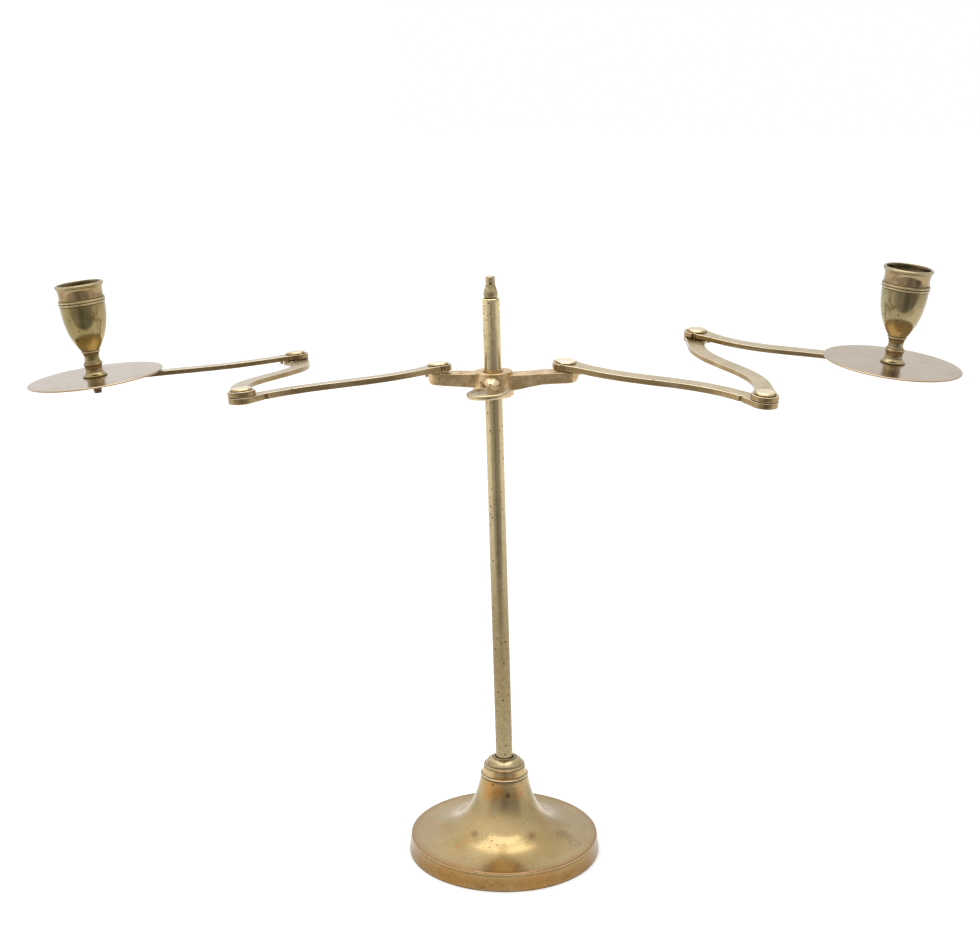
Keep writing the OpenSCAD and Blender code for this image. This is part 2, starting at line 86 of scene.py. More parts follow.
def finish_piece(obj, body, slot, material, *nodes):
    """Puts a piece on its body and in its material, in place of the nodes. slot is not used."""
    cover(obj, material)
    bpy.context.view_layer.update()
    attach(obj, body)
    if nodes:
        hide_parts(*nodes)
    return obj


def new_object(name, bm, where):
    """Turns the mesh into a smooth-shaded piece."""
    mesh = bpy.data.meshes.new(name)
    bm.to_mesh(mesh)
    bm.free()
    for face in mesh.polygons:
        face.use_smooth = True
    obj = bpy.data.objects.new(name, mesh)
    bpy.context.scene.collection.objects.link(obj)
    obj.matrix_world = where
    return obj


def rounded(points, radius=0.25, steps=3):
    """The profile with each corner eased by a small arc and held by points close by."""
    out = [points[0]]
    for a, b, c in zip(points, points[1:], points[2:]):
        va, vc = Vector(a) - Vector(b), Vector(c) - Vector(b)
        la, lc = va.length, vc.length
        turn = math.pi - va.angle(vc, 0)
        cut = min(radius, 0.4 * la, 0.4 * lc)
        if turn < math.radians(14) or cut < 0.02:
            out.append(b)
            continue
        pa, pc = Vector(b) + va / la * cut, Vector(b) + vc / lc * cut
        for k in range(steps + 1):
            t = k / steps
            q = (1 - t) ** 2 * pa + 2 * (1 - t) * t * Vector(b) + t * t * pc
            out.append((q.x, q.y))
    out.append(points[-1])
    return out


def curve(a, b, c, d, n=16):
    """Points of a cubic curve from a to d, pulled towards b and c."""
    out = []
    for i in range(n + 1):
        t = i / n
        w = ((1 - t) ** 3, 3 * (1 - t) ** 2 * t, 3 * (1 - t) * t * t, t ** 3)
        out.append(tuple(sum(k * p[j] for k, p in zip(w, (a, b, c, d))) for j in (0, 1)))
    return out


def arc(x, z, r, start, end, n=8):
    """Points of a circular arc. Angles in degrees."""
    out = []
    for i in range(n + 1):
        angle = math.radians(start + (end - start) * i / n)
        out.append((x + r * math.cos(angle), z + r * math.sin(angle)))
    return out


def split_long(points, longest):
    """The profile with its long straight runs cut up."""
    out = [points[0]]
    for a, b in zip(points, points[1:]):
        n = max(1, math.ceil((Vector(b) - Vector(a)).length / longest))
        for k in range(1, n + 1):
            out.append((a[0] + (b[0] - a[0]) * k / n, a[1] + (b[1] - a[1]) * k / n))
    return out


def unevenness(bm, amount, scale, seed=0.0):
    """Moves every point along its normal by smooth noise, as old hand-finished metal is. mm."""
    bm.normal_update()
    shift = Vector((seed, seed * 0.7, -seed))
    moves = [(v, noise.noise(v.co / (scale * MM) + shift) * amount * MM) for v in bm.verts]
    for v, move in moves:
        v.co += v.normal * move


def lathe(name, profile, where, sides=160, longest=2.5, ease=0.25, uneven=(0.0, 20.0)):
    """A turned piece. The profile runs (radius, height) in mm, and closes on the axis or on
    itself."""
    profile = split_long(rounded(profile, ease), longest)
    closed = profile[0][0] > 0 and profile[-1][0] > 0
    bm = bmesh.new()
    rings = []
    for r, z in profile:
        if r < 1e-6:
            rings.append([bm.verts.new((0, 0, z * MM))])
            continue
        ring = []
        for k in range(sides):
            angle = 2 * math.pi * k / sides
            ring.append(bm.verts.new((r * MM * math.cos(angle), r * MM * math.sin(angle), z * MM)))
        rings.append(ring)
    pairs = list(zip(rings, rings[1:]))
    if closed:
        pairs.append((rings[-1], rings[0]))
    for low, high in pairs:
        for k in range(sides):
            j = (k + 1) % sides
            if len(low) == 1 and len(high) == 1:
                continue
            if len(low) == 1:
                bm.faces.new((low[0], high[j], high[k]))
            elif len(high) == 1:
                bm.faces.new((low[k], low[j], high[0]))
            else:
                bm.faces.new((low[k], low[j], high[j], high[k]))
    bmesh.ops.recalc_face_normals(bm, faces=bm.faces)
    if uneven[0]:
        unevenness(bm, uneven[0], uneven[1], seed=len(name))
    return new_object(name, bm, where)


def softened(name, node, where, voxel, smooth=8, uneven=(0.03, 7.0)):
    """A copy of a CAD node as a fine even mesh with its edges worn round, as cast metal has."""
    mesh = frame["nodes"][node].data.copy()
    mesh.transform(where.inverted())
    obj = bpy.data.objects.new(name, mesh)
    bpy.context.scene.collection.objects.link(obj)
    weld = obj.modifiers.new("weld", "WELD")
    weld.merge_threshold = 0.00001
    remesh = obj.modifiers.new("remesh", "REMESH")
    remesh.mode = "VOXEL"
    remesh.voxel_size = voxel * MM
    relax = obj.modifiers.new("relax", "SMOOTH")
    relax.factor = 0.5
    relax.iterations = smooth
    seen = obj.evaluated_get(bpy.context.evaluated_depsgraph_get())
    bm = bmesh.new()
    bm.from_mesh(bpy.data.meshes.new_from_object(seen))
    bpy.data.objects.remove(obj)
    if uneven[0]:
        unevenness(bm, uneven[0], uneven[1], seed=len(name))
    return new_object(name, bm, where)


def threaded(name, r, low, high, pitch, depth, where, sides=48):
    """A threaded stud with chamfered ends. mm."""
    per_turn = 8
    rows = int((high - low) / pitch * per_turn)
    bm = bmesh.new()
    rings = []
    for i in range(rows + 1):
        z = low + (high - low) * i / rows
        ring = []
        for k in range(sides):
            share = k / sides
            wave = abs(((z / pitch - share) % 1.0) * 2 - 1)
            edge = min(1.0, (z - low) / pitch, (high - z) / pitch)
            radius = (r - depth * wave - depth * (1 - edge)) * MM
            angle = 2 * math.pi * share
            ring.append(bm.verts.new((radius * math.cos(angle), radius * math.sin(angle), z * MM)))
        rings.append(ring)
    for a, b in zip(rings, rings[1:]):
        for k in range(sides):
            j = (k + 1) % sides
            bm.faces.new((a[k], a[j], b[j], b[k]))
    bm.faces.new(list(reversed(rings[0])))
    bm.faces.new(rings[-1])
    bmesh.ops.recalc_face_normals(bm, faces=bm.faces)
    return new_object(name, bm, where)


# ---- materials -------------------------------------------------------------------

GOLD = (0.47, 0.34, 0.145)
ORANGE = (0.42, 0.205, 0.055)
GREEN = (0.36, 0.37, 0.20)
PALE = (0.74, 0.60, 0.40)
UMBER = (0.16, 0.10, 0.045)
# near black, for soot marks, pits and painted shade in corners
SHADE_AND_SOOT = (0.045, 0.028, 0.014)
ROSE = (0.44, 0.28, 0.17)
GREY_TAN = (0.37, 0.305, 0.205)
CREAM_HIGHLIGHT = (0.90, 0.81, 0.60)
SKIRT_BROWN = (0.25, 0.135, 0.042)
CREASE_SHADE_BROWN = (0.24, 0.115, 0.05)
BELL_SHADE = (0.21, 0.18, 0.09)
CORNER_SHADE = 0.7    # how dark the painted shade in corners gets
GRAIN = 0.35   # size of the finest grain, mm
FAR = 1e5      # a radius that leaves its direction out, mm


class Nodes:
    """Short names for building a node tree."""

    def __init__(self, tree):
        self.tree = tree

    def add(self, kind, **values):
        node = self.tree.nodes.new(kind)
        for key, value in values.items():
            setattr(node, key, value)
        return node

    def link(self, a, b):
        self.tree.links.new(a, b)

    def ramp(self, value, low, high, out_low=0.0, out_high=1.0):
        """Maps low..high to out_low..out_high, clamped and smooth."""
        node = self.add("ShaderNodeMapRange", interpolation_type="SMOOTHSTEP")
        self.link(value, node.inputs["Value"])
        for key, number in (("From Min", low), ("From Max", high),
                            ("To Min", out_low), ("To Max", out_high)):
            node.inputs[key].default_value = number
        return node.outputs["Result"]

    def math(self, operation, a, b=None):
        node = self.add("ShaderNodeMath", operation=operation)
        for socket, value in zip(node.inputs, (a, b)):
            if value is None:
                continue
            if isinstance(value, (int, float)):
                socket.default_value = value
            else:
                self.link(value, socket)
        return node.outputs[0]

    def axes(self, vector):
        """The X, Y and Z of a vector."""
        split = self.add("ShaderNodeSeparateXYZ")
        self.link(vector, split.inputs[0])
        return split.outputs


class Surface(Nodes):
    """A material's node tree, with its textures placed on the piece's own axes."""

    def __init__(self, name):
        self.material = bpy.data.materials.new(name)
        self.material.use_nodes = True
        super().__init__(self.material.node_tree)
        self.tree.nodes.clear()
        output = self.add("ShaderNodeOutputMaterial")
        self.shader = self.add("ShaderNodeBsdfPrincipled")
        self.link(self.shader.outputs[0], output.inputs[0])
        self.coords = self.add("ShaderNodeTexCoord").outputs["Object"]

    def noise(self, size_mm, detail=4.0, rough=0.55, stretch=(1, 1, 1), shift=0.0, distortion=0.0):
        """Noise whose blotches are about size_mm across, from 0 to 1."""
        mapping = self.add("ShaderNodeMapping")
        mapping.inputs["Scale"].default_value = stretch
        mapping.inputs["Location"].default_value = (shift, shift, shift)
        self.link(self.coords, mapping.inputs["Vector"])
        tex = self.add("ShaderNodeTexNoise")
        tex.inputs["Scale"].default_value = 1.0 / (size_mm * MM)
        tex.inputs["Detail"].default_value = detail
        tex.inputs["Roughness"].default_value = rough
        tex.inputs["Distortion"].default_value = distortion
        self.link(mapping.outputs[0], tex.inputs["Vector"])
        return tex.outputs["Fac"]

    def cells(self, size_mm, shift=0.0):
        """Distance to scattered points about size_mm apart."""
        mapping = self.add("ShaderNodeMapping")
        mapping.inputs["Location"].default_value = (shift, shift, shift)
        self.link(self.coords, mapping.inputs["Vector"])
        tex = self.add("ShaderNodeTexVoronoi")
        tex.inputs["Scale"].default_value = 1.0 / (size_mm * MM)
        self.link(mapping.outputs[0], tex.inputs["Vector"])
        return tex.outputs["Distance"]

    def mix(self, factor, a, b):
        """Mixes two colours; each is a socket or an (r, g, b)."""
        node = self.add("ShaderNodeMix", data_type="RGBA")
        for socket, value in ((node.inputs[0], factor), (node.inputs[6], a), (node.inputs[7], b)):
            if isinstance(value, (int, float)):
                socket.default_value = value
            elif isinstance(value, tuple):
                socket.default_value = (*value, 1.0)
            else:
                self.link(value, socket)
        return node.outputs[2]

    def distance(self, centre_mm, radii_mm):
        """Distance from a point, in units of the radii."""
        mapping = self.add("ShaderNodeMapping")
        mapping.inputs["Scale"].default_value = [1 / (r * MM) for r in radii_mm]
        mapping.inputs["Location"].default_value = [-c / r for c, r in zip(centre_mm, radii_mm)]
        self.link(self.coords, mapping.inputs["Vector"])
        length = self.add("ShaderNodeVectorMath", operation="LENGTH")
        self.link(mapping.outputs[0], length.inputs[0])
        return length.outputs["Value"]

    def corners(self, reach_mm):
        """1 on open surfaces, falling to 0 deep in corners and grooves."""
        node = self.add("ShaderNodeAmbientOcclusion", samples=6)
        node.inputs["Distance"].default_value = reach_mm * MM
        return node.outputs["AO"]

    def height_band(self, centre_mm, half_mm):
        """1 at a height on the piece's own axis, fading to 0 half_mm away."""
        height = self.axes(self.coords)["Z"]
        off = self.math("ABSOLUTE", self.math("SUBTRACT", height, centre_mm * MM))
        return self.ramp(off, 0.0, half_mm * MM, 1.0, 0.0)

    def upward(self):
        """How far the surface faces along the piece's own axis, from -1 to 1."""
        return self.axes(self.add("ShaderNodeTexCoord").outputs["Normal"])["Z"]

    def bump(self, height, distance_mm, strength=1.0, after=None):
        """Normals bent by a height, on top of the ones before."""
        node = self.add("ShaderNodeBump")
        node.inputs["Strength"].default_value = strength
        node.inputs["Distance"].default_value = distance_mm * MM
        self.link(height, node.inputs["Height"])
        if after is not None:
            self.link(after, node.inputs["Normal"])
        return node.outputs[0]


def aged_brass(name, light, dark, tarnish, rough=(0.2, 0.36), tarnish_share=0.5, pits=0.5,
               blotch_mm=22.0, bands=(), stretch=(1, 1, 1), shift=0.0, stains=(), rings=(),
               lines=(), side_shade_edge_highlight=None, bore_shade=None, pitted=0.0):
    """Old polished brass: two tones in blotches, tarnish patches, fine pits and scratches, and
    painted shade in the corners. bands are (height, half width, strength) of painted shade with
    grime in turned grooves and joints, stains (centre, radii, colour, strength), rings (centre,
    radius, strength) of marks and lines (height, half width, colour, strength) of stains,
    painted highlights and painted shade at heights. The side and edge entry (side colour,
    strength, edge colour, strength) paints shade on the sides of flat bars and a highlight
    along their top edges, and the bore entry (radius, height, colour, strength) paints shade
    in a bore above a height. pitted spreads the pits over more of the surface."""
    n = Surface(name)
    tone = n.ramp(n.noise(blotch_mm, 3.0, 0.5, stretch, shift), 0.38, 0.62)
    colour = n.mix(tone, light, dark)
    patch = n.noise(blotch_mm * 0.55, 6.0, 0.62, stretch, shift + 0.31, 0.6)
    low = 0.74 - 0.3 * tarnish_share
    tarnished = n.ramp(patch, low, low + 0.12)
    colour = n.mix(n.math("MULTIPLY", tarnished, 0.7), colour, tarnish)
    cloud = n.ramp(n.noise(blotch_mm * 0.12, 5.0, 0.6, (1, 1, 1), shift + 0.77), 0.3, 0.75)
    colour = n.mix(n.math("MULTIPLY", cloud, 0.25), colour, tarnish)
    worn = n.noise(2.2, 5.0, 0.7, (1, 1, 1), shift + 0.63)
    for centre, radii, stain, strength in stains:
        inside = n.ramp(n.distance(centre, radii), 0.35, 1.0, 1.0, 0.0)
        broken = n.math("MULTIPLY", inside, n.ramp(worn, 0.3, 0.62, 0.35, 1.0))
        colour = n.mix(n.math("MULTIPLY", broken, strength), colour, stain)
    for centre, radius, strength in rings:
        off = n.math("ABSOLUTE", n.math("SUBTRACT", n.distance(centre, (1, 1, 1)), radius))
        line = n.math("MULTIPLY", n.ramp(off, 0.15, 0.5, 1.0, 0.0), strength)
        colour = n.mix(line, colour, SHADE_AND_SOOT)
    for height, half, line_colour, strength in lines:
        band = n.math("MULTIPLY", n.height_band(height, half), n.ramp(worn, 0.3, 0.55, 0.55, 1.0))
        colour = n.mix(n.math("MULTIPLY", band, strength), colour, line_colour)
    # painted shade on the sides, by how far they face up, and a painted highlight along the rounded top edges
    if side_shade_edge_highlight:
        side_shade_colour, side_shade_share, edge_highlight_colour, edge_highlight_share = side_shade_edge_highlight
        up = n.upward()
        streaks = n.ramp(n.noise(5.0, 5.0, 0.6, (0.2, 1, 1), shift + 0.34), 0.3, 0.6, 0.45, 1.0)
        side = n.math("MULTIPLY", n.ramp(up, 0.2, 0.6, side_shade_share, 0.0), streaks)
        colour = n.mix(side, colour, side_shade_colour)
        edge = n.math("MULTIPLY", n.ramp(up, 0.25, 0.5, 0.0, edge_highlight_share),
                      n.ramp(up, 0.8, 0.97, 1.0, 0.0))
        colour = n.mix(edge, colour, edge_highlight_colour)
    # painted shade inside a bore, above a height
    if bore_shade:
        radius, height, bore_shade_colour, strength = bore_shade
        within = n.ramp(n.distance((0, 0, 0), (radius, radius, FAR)), 0.96, 1.0, strength, 0.0)
        above = n.ramp(n.distance((0, 0, 0), (FAR, FAR, height)), 1.0, 1.06)
        colour = n.mix(n.math("MULTIPLY", within, above), colour, bore_shade_colour)
    # painted shade: ambient occlusion darkens corners, creases and joints, and the bands add painted shade with
    # grime in turned grooves and joints
    shade_and_grime = n.math("MULTIPLY", n.ramp(n.corners(1.6), 0.25, 0.75, 1.0, 0.0), CORNER_SHADE)
    for centre, half, strength in bands:
        band = n.math("MULTIPLY", n.height_band(centre, half), strength)
        shade_and_grime = n.math("MAXIMUM", shade_and_grime, band)
    uneven = n.ramp(n.noise(3.0, 4.0, 0.6, shift=shift + 0.5), 0.25, 0.6, 0.5, 1.0)
    shade_and_grime = n.math("MULTIPLY", shade_and_grime, uneven)
    colour = n.mix(shade_and_grime, colour, SHADE_AND_SOOT)
    spots = n.cells(3.1, shift)
    chance = n.ramp(n.noise(9.0, 3.0, 0.5, (1, 1, 1), shift + 0.12), 0.5 - pitted, 0.6 - pitted)
    pit = n.math("MULTIPLY", n.ramp(spots, 0.11, 0.19, 1.0, 0.0), chance)
    fine_pits = n.math("MULTIPLY", n.ramp(n.cells(1.1, shift + 0.2), 0.1, 0.2, 1.0, 0.0),
                       n.ramp(n.noise(5.0, 3.0, 0.5, (1, 1, 1), shift + 0.8), 0.54 - pitted,
                              0.64 - pitted))
    pit = n.math("MULTIPLY", n.math("MAXIMUM", pit, fine_pits), pits)
    colour = n.mix(pit, colour, SHADE_AND_SOOT)
    n.link(colour, n.shader.inputs["Base Color"])
    n.shader.inputs["Metallic"].default_value = 1.0
    smear = n.noise(blotch_mm * 0.4, 6.0, 0.65, stretch, shift + 0.9)
    roughness = n.ramp(smear, 0.3, 0.7, rough[0], rough[1])
    roughness = n.math("ADD", roughness, n.math("MULTIPLY", tarnished, 0.08))
    roughness = n.math("ADD", roughness, n.math("MULTIPLY", shade_and_grime, 0.3))
    n.link(n.math("ADD", roughness, n.math("MULTIPLY", pit, 0.4)), n.shader.inputs["Roughness"])
    scratch = n.noise(GRAIN * 2.2, 2.0, 0.5, (1, 1, 0.12), shift + 0.4)
    fine = n.bump(n.noise(GRAIN, 3.0, 0.6, (1, 1, 1), shift), 0.012, 0.5)
    fine = n.bump(scratch, 0.008, 0.35, fine)
    fine = n.bump(n.noise(4.5, 2.0, 0.4, (1, 1, 1), shift + 0.22), 0.05, 0.5, fine)
    n.link(n.bump(n.math("SUBTRACT", 1.0, pit), 0.15, 0.8, fine), n.shader.inputs["Normal"])
    return n.material


def dark_steel(name, colour=(0.20, 0.17, 0.14), rust=(0.20, 0.11, 0.05)):
    """Dull steel with rust in patches."""
    n = Surface(name)
    tone = n.ramp(n.noise(1.6, 5.0, 0.6), 0.35, 0.65)
    stain = n.ramp(n.noise(3.5, 5.0, 0.6, shift=0.4), 0.5, 0.62)
    shade = n.mix(tone, colour, tuple(c * 0.55 for c in colour))
    n.link(n.mix(stain, shade, rust), n.shader.inputs["Base Color"])
    n.shader.inputs["Metallic"].default_value = 1.0
    n.link(n.ramp(n.noise(0.8, 4.0, 0.6), 0.3, 0.7, 0.35, 0.6), n.shader.inputs["Roughness"])
    n.link(n.bump(n.noise(0.5, 3.0, 0.6), 0.02, 0.6), n.shader.inputs["Normal"])
    return n.material


base_mat = aged_brass(
    "base_brass", (0.39, 0.30, 0.15), (0.31, 0.235, 0.105), ORANGE, rough=(0.19, 0.3),
    tarnish_share=0.45, blotch_mm=34, pitted=0.04,
    bands=((48.3, 0.7, 0.7), (0.0, 1.0, 0.5)), shift=0.2,
    # the crease line is painted shade in the rim's crease, and the pale line below it a painted highlight
    lines=((4.6, 8.5, SKIRT_BROWN, 0.9), (9.4, 0.9, UMBER, 0.7), (10.95, 0.5, CREASE_SHADE_BROWN, 0.85),
           (10.4, 0.22, PALE, 0.5)),
    stains=(((-7, -13, 43), (11, 9, 9), ORANGE, 0.95), ((7, -14, 42), (6, 7, 6), ORANGE, 0.6),
            ((2, -15, 41), (1.7, 4, 2.4), SHADE_AND_SOOT, 0.9), ((-7, -14, 46.5), (1.1, 4, 0.9), SHADE_AND_SOOT, 0.9),
            ((-6, -22, 29), (0.9, 4, 1.4), SHADE_AND_SOOT, 0.85), ((16, -28, 19), (3.5, 5, 2.5), UMBER, 0.5),
            ((-52, -18, 5), (14, 20, 6), GREY_TAN, 0.5), ((52, -18, 5), (14, 20, 6), GREY_TAN, 0.5),
            # painted shade on both flanks of the bell
            ((18, -6, 38), (7, 9, 13), BELL_SHADE, 0.85),
            ((-18, -6, 36), (5, 9, 12), BELL_SHADE, 0.65),
            ((48, 0, 12), (16, 40, 5), GREY_TAN, 0.45), ((-48, 0, 12), (16, 40, 5), GREY_TAN, 0.45),
            ((34, -12, 13), (10, 7, 5), UMBER, 0.6), ((-30, -46, 5), (28, 12, 9), ORANGE, 0.8),
            ((20, -54, 5), (20, 8, 9), ORANGE, 0.7), ((-14, -55, 2.5), (5, 3, 1.6), SHADE_AND_SOOT, 0.8),
            ((36, -44, 3), (4, 4, 1.5), SHADE_AND_SOOT, 0.7), ((0, -30, 14), (26, 12, 6), GOLD, 0.4)),
    rings=(((42, -19, 12), 3.4, 0.4), ((25, 22, 14), 3.6, 0.35), ((-27, 22, 14), 3.6, 0.35)))
collar_mat = aged_brass(
    "collar_brass", (0.42, 0.35, 0.21), (0.33, 0.265, 0.15), ORANGE, rough=(0.14, 0.24),
    blotch_mm=9, tarnish_share=0.4,
    # the pale lines are painted highlights along the tops of the two rings
    lines=((49.25, 0.4, PALE, 0.85), (55.3, 0.35, PALE, 0.7), (52.2, 2.0, (0.60, 0.40, 0.17), 0.7)),
    bands=((48.5, 0.4, 0.8), (50.0, 0.5, 0.6), (54.3, 0.5, 0.75), (55.9, 0.4, 0.8),
           (59.4, 0.3, 0.8)), shift=1.2,
    stains=(((0, -13, 50.6), (16, 6, 1.5), ORANGE, 0.9),
            ((0, -12, 54.2), (16, 6, 1.0), ORANGE, 0.8), ((-9, -6, 57.5), (4, 4, 2), UMBER, 0.5)))
rod_mat = aged_brass(
    "column_brass", (0.47, 0.39, 0.23), (0.38, 0.31, 0.18), UMBER, rough=(0.16, 0.28),
    tarnish_share=0.3, pits=1.0, blotch_mm=26, bands=((0.4, 1.6, 0.7),), stretch=(1, 1, 0.4),
    lines=((55, 130, (0.22, 0.165, 0.08), 0.9), (196, 62, (0.60, 0.47, 0.26), 0.7),
           (268, 52, (0.78, 0.64, 0.37), 0.9)), pitted=0.1,
    shift=2.4)
finial_mat = aged_brass("finial_brass", (0.50, 0.41, 0.24), (0.36, 0.285, 0.15), UMBER,
                        rough=(0.24, 0.4), blotch_mm=5, tarnish_share=0.7, pits=1.0,
                        bands=((277.9, 0.5, 0.9),), shift=3.1)
hub_mat = aged_brass("hub_brass", (0.70, 0.51, 0.28), (0.50, 0.36, 0.19), (0.40, 0.24, 0.09),
                     rough=(0.28, 0.42), tarnish_share=0.75, blotch_mm=6, pits=1.0, shift=4.0)
screw_mat = aged_brass("screw_brass", (0.60, 0.48, 0.28), (0.48, 0.36, 0.20), (0.30, 0.2, 0.1),
                       rough=(0.16, 0.26), blotch_mm=9, tarnish_share=0.35, shift=5.3,
                       # a painted highlight on the dome, and painted shade on the paddle's top
                       stains=(((0, 0, 15), (7, 7, 4), PALE, 0.8),
                               ((0, 0, 31.5), (15, 9, 13), (0.235, 0.195, 0.11), 0.95)))
# arms: painted shade on the sides and a painted highlight along the top edges
arm_mat = aged_brass("arm_brass", (0.52, 0.43, 0.27), (0.44, 0.355, 0.21), (0.34, 0.22, 0.09),
                     rough=(0.2, 0.32), blotch_mm=14, tarnish_share=0.4, pits=0.7, shift=6.1,
                     side_shade_edge_highlight=((0.275, 0.185, 0.08), 0.9, (0.80, 0.70, 0.50), 0.85))
pivot_mat = aged_brass("pivot_brass", PALE, (0.60, 0.45, 0.25), (0.34, 0.22, 0.09),
                       rough=(0.16, 0.26), blotch_mm=6, tarnish_share=0.25, pits=0.3, shift=7.7,
                       # the band paints shade with grime where the head meets the arm; the dark line is a painted
                       # dark reflection on the head's bevel and the cream line a painted highlight on its flat top
                       bands=((1.5, 0.4, 0.6),),
                       lines=((2.0, 0.8, (0.22, 0.14, 0.055), 0.95), (3.1, 0.4, CREAM_HIGHLIGHT, 0.9)))
# pan: painted shade on the rim's side and a painted highlight along its top edge
pan_mat = aged_brass("pan_brass", (0.42, 0.335, 0.235), (0.37, 0.285, 0.19), (0.30, 0.21, 0.125),
                     rough=(0.15, 0.24), blotch_mm=28, tarnish_share=0.25, pits=0.4, shift=8.5,
                     side_shade_edge_highlight=((0.30, 0.18, 0.07), 0.85, (0.5, 0.38, 0.22), 0.4))
CUP_BANDS = ((3.0, 0.5, 0.6), (6.4, 0.4, 0.7), (8.6, 0.5, 0.6), (14.0, 0.4, 0.8), (15.5, 0.5, 0.8),
             (42.7, 0.4, 0.75), (44.4, 0.25, 0.8), (46.2, 0.5, 0.7), (53.0, 0.5, 0.5))
# painted highlights on the beads and painted shade in the grooves beside them
BEAD_HIGHLIGHT, GROOVE_SHADE = (0.66, 0.56, 0.36), (0.20, 0.115, 0.045)
CUP_LINES = ((42.8, 0.5, GROOVE_SHADE, 0.9), (43.65, 0.35, BEAD_HIGHLIGHT, 0.8), (44.4, 0.3, GROOVE_SHADE, 0.9),
             (45.15, 0.35, BEAD_HIGHLIGHT, 0.8), (46.1, 0.5, GROOVE_SHADE, 0.9), (8.5, 0.4, GROOVE_SHADE, 0.8),
             (13.9, 0.4, GROOVE_SHADE, 0.8), (14.8, 0.4, BEAD_HIGHLIGHT, 0.7), (54.3, 0.5, BEAD_HIGHLIGHT, 0.6))
# the bore entry paints shade inside the cup's socket
CUP_TONES = dict(rough=(0.1, 0.2), tarnish_share=0.4, pits=0.8, blotch_mm=15, bands=CUP_BANDS,
                 lines=CUP_LINES, bore_shade=(12.75, 36.0, (0.09, 0.065, 0.032), 0.95),
                 pitted=0.04)
NECK = ((0, 0, 49.5), (21, 21, 5.5), ROSE, 0.95)
BELLY = ((0, 0, 22), (13, 13, 9), (0.50, 0.36, 0.10), 0.8)
FOOT = ((0, 0, 5), (9, 9, 8), ROSE, 0.55)
right_cup_mat = aged_brass(
    "right_cup_brass", (0.33, 0.27, 0.155), (0.24, 0.20, 0.105), (0.32, 0.21, 0.09), shift=9.2,
    stains=(NECK, BELLY, FOOT, ((4, -13, 49), (3, 3, 2.2), SHADE_AND_SOOT, 0.8),
            ((-9, -10, 49.5), (3, 3, 2), UMBER, 0.7), ((13, -3, 34), (6, 9, 13), GREEN, 0.6),
            ((-13, -2, 35), (5, 8, 13), GREEN, 0.6), ((3, -13, 33), (2, 3, 7), UMBER, 0.5)),
    **CUP_TONES)
left_cup_mat = aged_brass(
    "left_cup_brass", (0.32, 0.255, 0.12), (0.24, 0.195, 0.085), (0.30, 0.19, 0.075), shift=11.4,
    stains=(NECK, BELLY, FOOT, ((-5, -9, 23), (2.2, 3, 1.8), SHADE_AND_SOOT, 0.85),
            ((-1, -13, 31), (3.4, 3, 3.6), UMBER, 0.65), ((-9, -9, 50), (3, 4, 3), UMBER, 0.6),
            ((-12, -5, 33), (5, 7, 10), GREEN, 0.55), ((4, -13, 38), (2.5, 3, 6), UMBER, 0.45)),
    **CUP_TONES)
stud_mat = dark_steel("stud_steel")
clamp_mat = dark_steel("clamp_steel", (0.34, 0.32, 0.30), (0.26, 0.15, 0.08))


# ---- base and column ----------------------------------------------------------------

BASE_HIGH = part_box("base_shell")[1][2] / MM
BASE_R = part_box("base_skirt")[1][0] / MM
RIM_R = BASE_R - 1.1
RIM_Z = 10.8
NECK_R = 14.0
WALL = 1.4


def bell(dr, dz):
    """The trumpet's curve from the rim to the neck, moved in by dr and down by dz. mm."""
    return curve((RIM_R - 0.7 - dr, RIM_Z + 0.4 - dz), (29.1 - dr, RIM_Z + 1.2 - dz),
                 (18.6 - dr, 22.5 - dz), (NECK_R - dr, BASE_HIGH - dz), 40)


inside_bell = [p for p in reversed(bell(WALL, WALL)) if p[1] < BASE_HIGH - 1.7 * WALL]
BOSS_R, BOSS_LOW, BORE_R = 8.0, 35.0, 4.3
shell = lathe("trumpet_base", [
    (BASE_R - WALL, 0), (BASE_R - 0.2, 0), (BASE_R, 0.5), (BASE_R - 0.3, 3.5),
    (RIM_R + 0.1, RIM_Z - WALL), (RIM_R, RIM_Z)] + bell(0, 0) + [
    (BORE_R, BASE_HIGH), (BORE_R, BOSS_LOW), (BOSS_R, BOSS_LOW),
    (BOSS_R, BASE_HIGH - 1.6 * WALL)] + inside_bell + [
    (RIM_R - 1.2 * WALL, RIM_Z - WALL)],
    BASE, sides=224, longest=2.0, ease=0.35, uneven=(0.05, 26.0))
finish_piece(shell, "base", "base_brass", base_mat, "base_shell", "base_skirt")

COLLAR_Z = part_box("base_collar")[0][2] / MM
COLLAR_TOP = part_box("base_collar")[1][2] / MM
COLLAR_R = 14.35
collar = lathe("base_collar_turned", [(5.12, COLLAR_Z), (COLLAR_R - 0.5, COLLAR_Z)]
               + arc(COLLAR_R - 0.5, COLLAR_Z + 0.7, 0.5, -70, 90)
               + [(13.35, COLLAR_Z + 1.3), (12.95, COLLAR_Z + 3.3), (12.6, COLLAR_Z + 4.6),
                  (12.3, COLLAR_Z + 6.1)]
               + arc(11.55, COLLAR_Z + 6.9, 0.45, -60, 90)
               + curve((11.1, COLLAR_Z + 7.35), (10.9, COLLAR_Z + 9.1), (9, COLLAR_Z + 10.6),
                       (6.7, COLLAR_Z + 11), 14)
               + [(6.4, COLLAR_TOP - 0.65)]
               + arc(6, COLLAR_TOP - 0.35, 0.35, -20, 150, 8)
               + [(5.35, COLLAR_TOP - 1.4), (5.15, COLLAR_TOP - 1.8)],
               BASE, sides=160, longest=1.2, ease=0.1, uneven=(0.03, 9.0))
finish_piece(collar, "base", "collar_brass", collar_mat, "base_collar")

